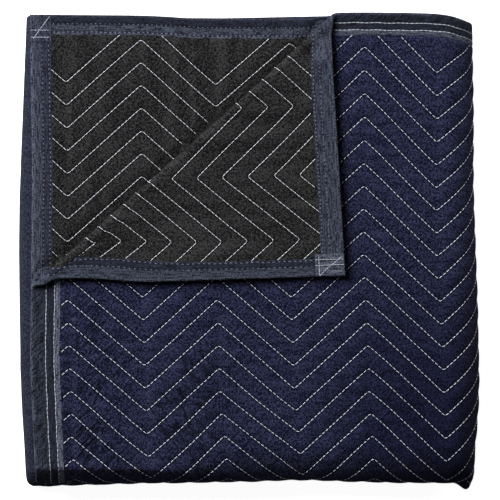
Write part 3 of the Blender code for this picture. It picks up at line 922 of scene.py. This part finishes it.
def tape_tone(edge, seams, v, w, inset):
    """How light a tape is at points of it."""
    side = np.where(w > 0, 0, 1)
    lines, tones = np.array(seams)[side], np.array(TONES[edge])[side]
    tone = np.where(inset < lines[:, 1] + TONE_MARGIN, tones[:, 1], tones[:, 2])
    tone = np.where(inset < lines[:, 0] + TONE_MARGIN, tones[:, 0], tone)
    # Painted highlight, mixed with wear, along the tape's rounded outer edge.
    tone = tone + EDGE_WEAR_AND_HIGHLIGHT[edge] * (1 - ease(inset, *EDGE_WEAR_AND_HIGHLIGHT_BAND))
    if edge in ("left", "right"):
        tone = tone - NEAR_END_DARKER * ((w < 0) & (v < SHEET_V / 2))
        tone = np.where(SHEET_V - v < PATCH_FAR[1] + 1e-4, PATCH_TONES[1], tone)
        tone = np.where(v < PATCH_NEAR[1] + 1e-4, PATCH_TONES[0], tone)
    return tone


def puckered(inset, along):
    """The slanting puckers that the seams leave in the tape, from -1 to 1."""
    wave = np.sin((along + 0.9 * inset) * 2 * math.pi / PUCKER_WAVE + 1.5 * np.sin(along * 91))
    return wave * (0.6 + 0.4 * np.sin(along * 57)) * np.clip(inset / 0.004, 0, 1)


# %% One tape along an edge of the sheet


def sheet_point(edge, inset, along):
    """(u, v) on the sheet, from the distance in from an edge and the place along it."""
    u, v = (along, inset) if edge in ("near", "far") else (inset, along)
    return (SHEET_U - u if edge == "right" else u), (SHEET_V - v if edge == "far" else v)


def tape(name, edge, reaches, seams, seen, size, material):
    """One tape, with faces of this size along it where seen(along) is true."""
    sideways = edge in ("near", "far")
    whole = SHEET_U if sideways else SHEET_V
    begin = (PATCH_NEAR if edge == "near" else PATCH_FAR)[0] + PATCH_GAP if sideways else 0.0
    bm = strip(tape_section(reaches, seams), begin, whole - begin)
    if not sideways:
        patch(bm, whole, reaches)
    for vert in bm.verts:
        u, v = sheet_point(edge, vert.co.x, -vert.co.y)
        vert.co.x, vert.co.y = u, -v
    if edge in ("right", "near"):
        bmesh.ops.reverse_faces(bm, faces=bm.faces[:])
    for line in TAPE_U_LINES if sideways else TAPE_V_LINES:
        point, normal = ((line, 0, 0), (1, 0, 0)) if sideways else ((0, -line, 0), (0, 1, 0))
        cut_all(bm, point, normal)
    refine_strip(bm, 0 if sideways else 1, seen, size)
    cut_turn(bm)
    piece = keep(name, bm, material)
    at = points_of(piece.data)
    u, v, w = at[:, 0], -at[:, 1], at[:, 2]
    inset = {"left": u, "right": SHEET_U - u, "near": v, "far": SHEET_V - v}[edge]
    along = u if sideways else v
    write_uv(piece.data, inset * np.sign(w + 1e-9), along)
    outer = np.abs(w) > INNER + TOUCH
    # Painted shade along the tape's seams and at the inner ends of the corner squares.
    near = np.min(np.abs(inset[:, None] - np.array(seams)[np.where(w > 0, 0, 1)]), axis=1)
    dark = np.exp(-((near / SEAM_SHADE) ** 2))
    if not sideways:
        hem = np.minimum(np.abs(v - PATCH_NEAR[1]), np.abs(SHEET_V - v - PATCH_FAR[1]))
        dark = np.maximum(dark, np.exp(-((hem / HEM_SHADE) ** 2)))
    write_value(piece.data, "painted_stitch_shade", np.where(outer, dark, 0))
    write_value(piece.data, "tone", tape_tone(edge, seams, v, w, inset))
    w = w + np.where(outer, np.sign(w) * PUCKER * puckered(inset, along), 0)
    return place(piece, folded(np.stack([u, v, w], axis=1)))


# %% [markdown]
# ## The tape's cloth
#
# The tape is a slate-blue cotton twill, a little shinier than the quilted cloth, and
# lighter along its inner edge, where it is turned under and rubs. Its ribs run across
# it about 0.6 mm apart, and are drawn as slubs 1 mm wide. It is creased slantwise
# where it was pulled round the edge, with painted shade in the creases, and painted
# shade darkens its seams and, on its back, the hole that each stitch leaves.

# %% Tape material
RIBS, STREAKS = (420, 900), (900, 75)  # a metre: 1.1 mm wide ribs, and streaks along the tape
TUGS, SLANT = (80, 330), 0.7  # the slantwise creases, 3 mm apart
TUGGED = (0.007, 0.0060)  # they lie round this inset from the edge, and this far each way
STITCH = 0.0047  # from one stitch to the next on the tape's back
HOLE_SHADE, SEAM_SHARE = 0.9, 0.35  # how dark the painted shade is in each stitch hole and in the groove between them


def tape_cloth(name, dark, light, seam):
    material, tree, shader = new_material(
        name, Roughness=0.88, Specular_IOR_Level=0.2, Sheen_Weight=0.06, Sheen_Roughness=0.4
    )
    on_tape = add_node(tree, "UVMap", uv_map="sheet")
    painted_stitch_shade, tone = [
        add_node(tree, "Attribute", out="Fac", attribute_name=value) for value in ("painted_stitch_shade", "tone")
    ]
    across, along = add_node(tree, "SeparateXYZ", {0: on_tape}).node.outputs[0:2]
    ribs, streaks = slubs(tree, on_tape, RIBS, 3.0), slubs(tree, on_tape, STREAKS, 3.0)
    turned = add_node(tree, "Mapping", {"Vector": on_tape, "Rotation": (0, 0, SLANT)})
    outside = add_node(tree, "Math", {0: across, 1: TUGGED[0], 2: TUGGED[1]}, operation="COMPARE")
    tugs = add_node(tree, "Mix", {0: outside, 2: 0.5, 3: slubs(tree, turned, TUGS, 3.0, 0.6)})

    # Painted shade in the slantwise creases, mixed with the ribs' and streaks' own tone.
    shade = 0.0
    for value in (ribs, streaks, tugs):
        shade = add_node(tree, "Math", {0: value, 1: 1 / 3, 2: shade}, operation="MULTIPLY_ADD")
    shade = add_node(tree, "ValToRGB", {0: shade}, stops=((0.440, "#2a2f4c"), (0.545, "#ffffff")))
    on_back = add_node(tree, "Math", {0: across, 1: 0.0}, operation="LESS_THAN")
    # Painted shade in each stitch hole on the back, and along the seams.
    painted_holes = along
    for operation, by in (
        ("MULTIPLY", -2 * math.pi / STITCH),
        ("SINE", 0.0),
        ("MAXIMUM", 0.0),
        ("MULTIPLY", on_back),
        ("MULTIPLY", HOLE_SHADE),
        ("ADD", SEAM_SHARE),
        ("MULTIPLY", painted_stitch_shade),
    ):
        painted_holes = add_node(tree, "Math", {0: painted_holes, 1: by}, operation=operation)
    colour = linear(dark)
    for share, over, how in (
        (tone, linear(light), "MIX"), (1.0, shade, "MULTIPLY"), (painted_holes, linear(seam), "MIX")
    ):
        inputs = {0: share, 6: colour, 7: over}
        colour = add_node(tree, "Mix", inputs, out=2, data_type="RGBA", blend_type=how)
    tree.links.new(colour, shader.inputs["Base Color"])

    creased = add_node(tree, "Bump", {"Height": tugs, "Strength": 1.0, "Distance": 0.0030})
    inputs = {"Height": ribs, "Strength": 0.8, "Distance": 0.0008, "Normal": creased}
    tree.links.new(add_node(tree, "Bump", inputs), shader.inputs["Normal"])
    print(name, len(tree.nodes), "nodes")
    return material


# seam is painted shade along the seams and in the stitch holes
slate_tape = tape_cloth("slate_cotton_twill_tape", dark="#161b2e", light="#686f80", seam="#0a0c18")

# %% The four tapes
FINE, COARSE = 0.0015, 0.009  # the length of a face along the tape, where it shows or not
FAR_SEEN = 0.36  # the far tape is seen up to here
TAPES = {
    "slate_side_tape_left": (
        "left", SIDE_REACH, SIDE_SEAMS, lambda v: v < FOLD_END_V or v > SHEET_V - RUN_V, FINE
    ),
    "slate_side_tape_right": ("right", SIDE_REACH, SIDE_SEAMS, lambda v: True, COARSE),
    "slate_end_tape_near": ("near", END_REACH, END_SEAMS, lambda u: u < FOLD_END_U, FINE),
    "slate_end_tape_far": ("far", END_REACH, FAR_SEAMS, lambda u: u < FAR_SEEN, FINE),
}
side_left, side_right, end_near, end_far = [tape(name, *row, slate_tape) for name, row in TAPES.items()]

# %% [markdown]
# ## The stitches
#
# Thousands of stitches show, so each has only a few faces. A curve with one short line
# for each stitch, thinner at its ends where it dives into the cloth, becomes a mesh in
# one step. Their points are worked out on the flat sheet, at the height of the cloth
# there, and folded with it.

# %% Thread material
FIBRE = 700.0  # a metre: fibres 1.4 mm long, coarser than real ones so that they show


def thread_material(name, colour, shadow):
    """Twisted polyester: smoother than the cloth, with a soft highlight."""
    material, tree, shader = new_material(name, Roughness=0.6, Specular_IOR_Level=0.3)
    at = add_node(tree, "TexCoord", out="Object")
    fibre = add_node(tree, "TexNoise", {"Vector": at, "Scale": FIBRE, "Detail": 2.0, "Roughness": 0.6})
    shade = add_node(tree, "ValToRGB", {0: fibre}, stops=((0.35, shadow), (0.6, colour)))
    tree.links.new(shade, shader.inputs["Base Color"])
    twist = add_node(tree, "Bump", {"Height": fibre, "Strength": 0.4, "Distance": 0.0002})
    tree.links.new(twist, shader.inputs["Normal"])
    return material


# %% The maker of stitches
THIN_END = 0.55  # a stitch's share of its thickness where it dives into the cloth


def stitches(name, paths, radius, material):
    """A mesh of stitches from a list of short folded paths."""
    curve = bpy.data.curves.new(name, "CURVE")
    curve.dimensions = "3D"
    curve.bevel_depth, curve.bevel_resolution, curve.use_fill_caps = radius, 0, True
    for path in paths:
        spline = curve.splines.new("POLY")
        spline.points.add(len(path) - 1)
        at = np.concatenate([path, np.ones((len(path), 1))], axis=1)
        spline.points.foreach_set("co", at.astype(np.float32).ravel())
        width = np.ones(len(path), np.float32)
        width[[0, -1]] = THIN_END
        spline.points.foreach_set("radius", width)
    drawn = bpy.data.objects.new(name + "_curve", curve)
    bpy.context.scene.collection.objects.link(drawn)
    bpy.context.view_layer.update()
    mesh = bpy.data.meshes.new_from_object(drawn.evaluated_get(bpy.context.evaluated_depsgraph_get()))
    bpy.data.objects.remove(drawn)
    bpy.data.curves.remove(curve)
    mesh.name = name
    mesh.materials.clear()
    mesh.materials.append(material)
    mesh.shade_smooth()
    piece = bpy.data.objects.new(name, mesh)
    bpy.context.scene.collection.objects.link(piece)
    print(name, len(paths), "stitches", len(mesh.polygons), "faces")
    return piece


# %% Where the quilting's stitches go
STITCHED_ROWS = (range(FIRST_ROW, 24), [*range(-4, 14), *range(64, LAST_ROW + 1)])
ROW_ENDS = (RUN_U + FOLD_END_U, 0.36)  # how far across the sheet rows are stitched, each side
BESIDE_TAPE = 0.0006
ROLLED, UNDER_ROLL, BESIDE_ROLL = 0.011, 0.262, 0.034  # no stitches where the roll hides them


def spaced(u, v, pitch, share):
    """(u, v) of the start, middle and end of each stitch along a line of points."""
    length = np.concatenate([[0], np.cumsum(np.hypot(np.diff(u), np.diff(v)))])
    starts = np.arange(0.0, length[-1] - pitch, pitch)
    at = starts[:, None] + pitch * share * np.array([0.0, 0.5, 1.0])
    return np.interp(at, length, u), np.interp(at, length, v)


def row_line(n, wide):
    """The zigzag of row n as points across the sheet, a little rounded at its turns."""
    numbers, places = zip(*[(m, v0) for v0, m in ROWS])
    base = np.interp(n, numbers, places)
    u = np.arange(-0.01, wide, 0.0008)
    v = np.full_like(u, base)
    for _ in range(12):  # v comes a little closer to the true row each time
        v = v + base + WAVE * wave_at(u, v) - true_to_pattern(u, v)[1]
    soft = np.ones(5) / 5
    return u[2:-2], np.convolve(v, soft, "valid")


def quilting_paths(side, pitch, share, lift):
    """Every stitch of the quilting rows that shows on one side of the cloth."""
    paths = []
    for n in STITCHED_ROWS[side]:
        u, v = spaced(*row_line(n, ROW_ENDS[side]), pitch, share)
        mid_u, mid_v = u[:, 1], v[:, 1]
        side_inset, end_inset = insets(mid_u, mid_v)
        clear = (side_inset > SIDE_REACH[side]) & (end_inset > END_REACH[side] + BESIDE_TAPE)
        if side:
            rolled = np.abs(beyond_turn(mid_u, mid_v)) < ROLLED
            clear &= ((mid_u < UNDER_ROLL) | (mid_v > SHEET_V / 2)) & ((mid_u > BESIDE_ROLL) | ~rolled)
        chosen = SEEN[side](mid_u, mid_v) & clear & (mid_v > 0) & (mid_v < SHEET_V)
        u, v = u[chosen], v[chosen]
        if not len(u):
            continue
        height = surface(u.ravel(), v.ravel(), side).reshape(u.shape) + np.array(lift)
        at = np.stack([u, v, (1, -1)[side] * height], axis=2)
        paths.extend(folded(at.reshape(-1, 3)).reshape(at.shape))
    return paths


# %% The quilting rows
QUILT_STITCH = 0.0049  # from one stitch to the next
FACE_SHARE, BACK_SHARE = 0.74, 0.88  # how much of that the thread covers
FACE_LIFT, BACK_LIFT = (0.0001, 0.00040, 0.0001), (0.0001, 0.00035, 0.0001)  # over the cloth
FACE_THREAD, BACK_THREAD = 0.00037, 0.00034  # its radius
white_thread = thread_material("white_polyester_thread", "#f6f8ff", "#e0e3f2")
cool_thread = thread_material("blue_white_polyester_thread", "#f0f4ff", "#d9dff6")
face_paths = quilting_paths(0, QUILT_STITCH, FACE_SHARE, FACE_LIFT)
face_stitches = stitches("white_face_stitches", face_paths, FACE_THREAD, cool_thread)
back_paths = quilting_paths(1, QUILT_STITCH, BACK_SHARE, BACK_LIFT)
back_stitches = stitches("white_back_stitches", back_paths, BACK_THREAD, white_thread)

# %% [markdown]
# ## The stitches of the binding
#
# The tape is sewn with grey thread. On the face the two rows are almost unbroken lines,
# and on the back they are short stitches, with a hole of painted shade between each two.

# %% The binding's rows of stitches
FACE_STITCH, UNBROKEN, SHORT = 0.0048, 0.97, 0.5
SHORTER = 0.6  # the outer row of the back has shorter stitches still
RAISED = (-0.0001, 0.00022, -0.0001)  # over the tape at a stitch's start, middle and end
SEAM_THREAD, BACK_SEAM_THREAD = 0.0005, 0.00042
SEAM_STRAYS = ((0.00022, 260), (0.00015, 71))  # how far the rows stray, and how fast
grey_thread = thread_material("grey_polyester_thread", "#c4c9d4", "#9499a5")
dull_thread = thread_material("slate_polyester_thread", "#7f8697", "#565c6d")


def seam_paths(edge, side, reaches, seams, stretch):
    """The stitches of one tape's seams along a stretch of it, on one side of the cloth."""
    pitch, share = ((FACE_STITCH, UNBROKEN), (STITCH, SHORT))[side]
    paths = []
    along = np.arange(stretch[0], stretch[1], 0.001)
    for i, seam in enumerate(seams[side]):
        inset = seam + sum(stray * np.sin(along * fast) for stray, fast in SEAM_STRAYS)
        inset, at_along = spaced(inset, along, pitch, share * (SHORTER if side and i == 0 else 1))
        height = tape_height(inset, reaches[side], seams[side]) + np.array(RAISED)
        u, v = sheet_point(edge, inset, at_along)
        at = np.stack([u, v, (1, -1)[side] * height], axis=2)
        paths.extend(folded(at.reshape(-1, 3)).reshape(at.shape))
    return paths


face_seams = seam_paths("left", 0, SIDE_REACH, SIDE_SEAMS, (0.250, FOLD_END_V))
face_seams += seam_paths("near", 0, END_REACH, END_SEAMS, (0.290, FOLD_END_U))
back_seams = seam_paths("left", 1, SIDE_REACH, SIDE_SEAMS, (STITCH * 6, 0.290))
back_seams += seam_paths("near", 1, END_REACH, END_SEAMS, (STITCH * 5, 0.325))
back_seams += seam_paths("far", 1, END_REACH, FAR_SEAMS, (STITCH * 5, 0.340))
back_seams += seam_paths("left", 1, SIDE_REACH, SIDE_SEAMS, (STITCH * 346, SHEET_V - PATCH_FAR[1]))
face_seam_stitches = stitches("grey_face_seam_stitches", face_seams, SEAM_THREAD, grey_thread)
back_seam_stitches = stitches("slate_back_seam_stitches", back_seams, BACK_SEAM_THREAD, dull_thread)

# %% The tacked corners
TACK_STITCH, TACK_SHARE, TACK_HEIGHT, TACK_THREAD = 0.0032, 0.95, HALF + 0.0006, 0.0004


def tack_paths(edge, lines):
    """Lines of stitches on a corner patch: (inset, along) at each end, on the back."""
    paths = []
    for (inset0, along0), (inset1, along1) in lines:
        steps = np.linspace(0, 1, 40)
        inset, along = inset0 + (inset1 - inset0) * steps, along0 + (along1 - along0) * steps
        u, v = sheet_point(edge, *spaced(inset, along, TACK_STITCH, TACK_SHARE))
        at = np.stack([u, v, np.full(u.shape, -TACK_HEIGHT)], axis=2)
        paths.extend(folded(at.reshape(-1, 3)).reshape(at.shape))
    return paths


turned_tacks = tack_paths(
    "left",
    [
        ((0.0134, 0.0005), (0.0134, 0.0262)),
        ((0.0200, 0.0005), (0.0200, 0.0262)),
        ((0.0010, 0.0224), (0.0262, 0.0224)),
        ((0.0010, 0.0224), (0.0134, 0.0120)),
        ((0.0134, 0.0110), (0.0250, 0.0005)),
    ],
)
lower_tacks = tack_paths(
    "far",
    [
        ((0.0158, 0.0010), (0.0158, 0.0215)),
        ((0.0230, 0.0010), (0.0230, 0.0215)),
        ((0.0015, 0.0205), (0.0250, 0.0030)),
    ],
)
corner_tacks = stitches("grey_corner_tacks", turned_tacks + lower_tacks, TACK_THREAD, grey_thread)

# %% [markdown]
# ## Joining the pieces to the imported part
#
# Each finished piece rides on the part's one body and replaces its plain solid. The two
# panels are one folded sheet each, cut to about 1.94 by 1.96 m, and the tapes and the
# thread go with them.

# %% Ride and replace
REPLACED = {
    "face_panel": (face_cloth, "face_cloth"),
    "back_panel": (back_cloth, "back_cloth"),
    "side_binding_left": (side_left, "binding_tape"),
    "side_binding_right": (side_right, "binding_tape"),
    "end_binding_near": (end_near, "binding_tape"),
    "end_binding_far": (end_far, "binding_tape"),
}
for solid, (piece, slot) in REPLACED.items():
    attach(piece, "root")
    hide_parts(solid)
threads = [face_stitches, back_stitches, face_seam_stitches, back_seam_stitches, corner_tacks]
for piece in threads:
    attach(piece, "root")

# %% [markdown]
# ## Floor, light and camera
#
# The floor is a large white light table. It glows evenly but gives the cloth no light, so
# the undersides of the folds stay dark and the outline is clean. The key is a large soft
# light from the upper left, about 50 degrees off the vertical: low enough to draw every
# row of the quilting, the roll of the turned corner and the shadow under its edges. Two
# small lights near the floor, on the right and in front, keep the sides of the stack from
# going black. The camera is far away with a long lens and looks straight down.

# %% Floor and lights
GLOW, ROOM_LIGHT = 0.93, 0.03
floor_mesh = bmesh.new()
bmesh.ops.create_grid(floor_mesh, x_segments=1, y_segments=1, size=6.0)
floor_material, _, floor_shader = new_material("white_light_table", Roughness=0.9)
floor_shader.inputs["Base Color"].default_value = linear("#f4f4f4")
floor_shader.inputs["Emission Color"].default_value = (1.0, 1.0, 1.0, 1.0)
floor_shader.inputs["Emission Strength"].default_value = GLOW
floor = keep("floor", floor_mesh, floor_material)
floor.visible_diffuse = False
floor.visible_glossy = False

world = bpy.data.worlds.new("soft_studio")
bpy.context.scene.world = world
world.use_nodes = True
world.node_tree.nodes["Background"].inputs["Color"].default_value = (1.0, 1.0, 1.0, 1.0)
world.node_tree.nodes["Background"].inputs["Strength"].default_value = ROOM_LIGHT


def area_light(name, place_at, size, power):
    """A round soft light that faces the middle of the floor."""
    light = bpy.data.lights.new(name, "AREA")
    light.shape, light.size, light.energy = "DISK", size, power
    lamp = bpy.data.objects.new(name, light)
    lamp.location = place_at
    x, y, z = place_at
    lamp.rotation_euler = (math.atan2(math.hypot(x, y), z), 0, math.atan2(x, -y))
    bpy.context.scene.collection.objects.link(lamp)


area_light("key", (-2.1, 2.2, 2.6), 2.7, 290)
area_light("rim", (1.15, 0.80, 0.15), 0.26, 6.5)
area_light("front_fill", (0.9, -2.2, 0.36), 0.66, 5)

# %% Camera
DISTANCE, VIEW = 9.0, 0.51  # from the stack's top to the lens, and the width seen there
AIM = (0.00071, 0.00102)
STACK_TOP = 0.067
camera_data = bpy.data.cameras.new("camera")
camera_data.sensor_width = 36.0
camera_data.lens = camera_data.sensor_width * DISTANCE / VIEW
camera = bpy.data.objects.new("camera", camera_data)
camera.location = (*AIM, DISTANCE + STACK_TOP)
bpy.context.scene.collection.objects.link(camera)
bpy.context.scene.camera = camera
bpy.context.scene.view_settings.view_transform = "Standard"
